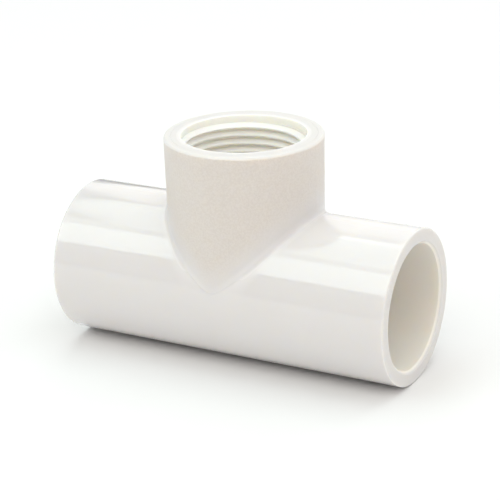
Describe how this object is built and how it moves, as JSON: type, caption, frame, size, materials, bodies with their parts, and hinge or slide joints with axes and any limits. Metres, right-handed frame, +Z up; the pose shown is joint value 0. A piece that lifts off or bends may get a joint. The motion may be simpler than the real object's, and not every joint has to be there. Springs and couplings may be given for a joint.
{
  "type": "pvc tee fitting",
  "caption": "White moulded pipe tee: two plain slip sockets in line and a side branch with a female pipe thread.",
  "frame": {"origin": "on the underside of the run, straight below the point where the run's axis and the branch's axis cross", "axes": "+X along the run, from one socket to the other; +Z up along the branch, out of its threaded mouth; +Y completes the right-handed frame"},
  "size_m": [0.0786, 0.0338, 0.0495],
  "materials": {
    "white_pvc": "warm white rigid PVC, polished on the run and sockets, fine matte mould grain on the branch"
  },
  "bodies": {
    "root": {"tee_body": "white_pvc"}
  },
  "joints": []
}
